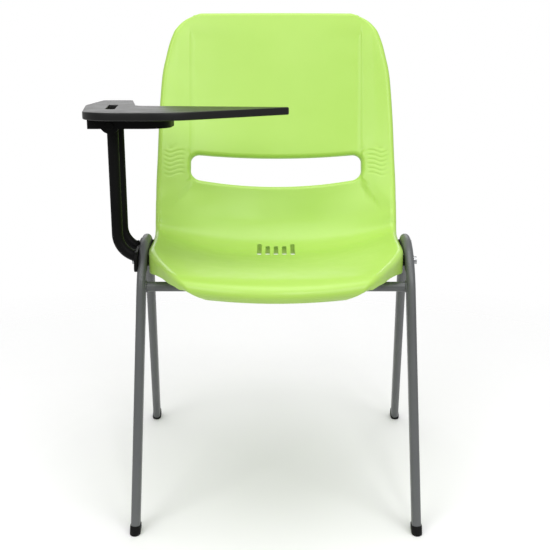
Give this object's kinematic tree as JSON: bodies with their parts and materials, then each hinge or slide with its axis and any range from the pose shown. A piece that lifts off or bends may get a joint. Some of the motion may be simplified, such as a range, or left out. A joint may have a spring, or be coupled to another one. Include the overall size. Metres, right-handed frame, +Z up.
{
  "type": "tablet arm chair",
  "caption": "One-piece plastic shell seat with a lumbar opening on bent oval-tube legs, with a flip-up writing tablet on a side arm.",
  "frame": {"origin": "on the floor under the middle of the whole chair's box, tablet included; the shell's own middle plane is 29.2 mm towards +X of it", "axes": "+Z up, the sitter faces -Y, +X is the sitter's left; the tablet arm is on -X"},
  "size_m": [0.6028, 0.5844, 0.8539],
  "materials": {
    "shell_plastic": "satin moulded, fine grain",
    "frame_grey": "grey powder coat",
    "arm_black": "black powder coat, semi-gloss",
    "black_plastic": "black moulded",
    "tablet_black": "black, fine texture",
    "zinc_steel": "zinc plated"
  },
  "bodies": {
    "chair": {"seat_shell": "shell_plastic", "left_side_frame": "frame_grey", "right_side_frame": "frame_grey", "front_crossbar": "frame_grey", "rear_crossbar": "frame_grey", "front_left_foot": "black_plastic", "front_right_foot": "black_plastic", "rear_left_foot": "black_plastic", "rear_right_foot": "black_plastic", "shell_bolts": "zinc_steel", "arm_bolts": "zinc_steel", "bolt_washers": "zinc_steel", "shell_nuts": "zinc_steel", "shell_spacers": "black_plastic", "arm_plate": "arm_black", "front_arm_post": "arm_black", "rear_arm_post": "arm_black", "hinge_barrel": "arm_black", "stop_bracket": "arm_black"},
    "tablet": {"tablet_carrier": "arm_black", "hinge_pin": "arm_black", "pin_clip": "arm_black", "hinge_washers": "black_plastic", "tablet_screws": "zinc_steel", "tablet_top": "tablet_black"}
  },
  "joints": [
    {"name": "tablet_flip", "type": "hinge", "parent": "chair", "child": "tablet", "pos_m": [-0.2308, -0.0787, 0.665], "axis": [0, -1, 0], "range_deg": [0, 90]}
  ]
}
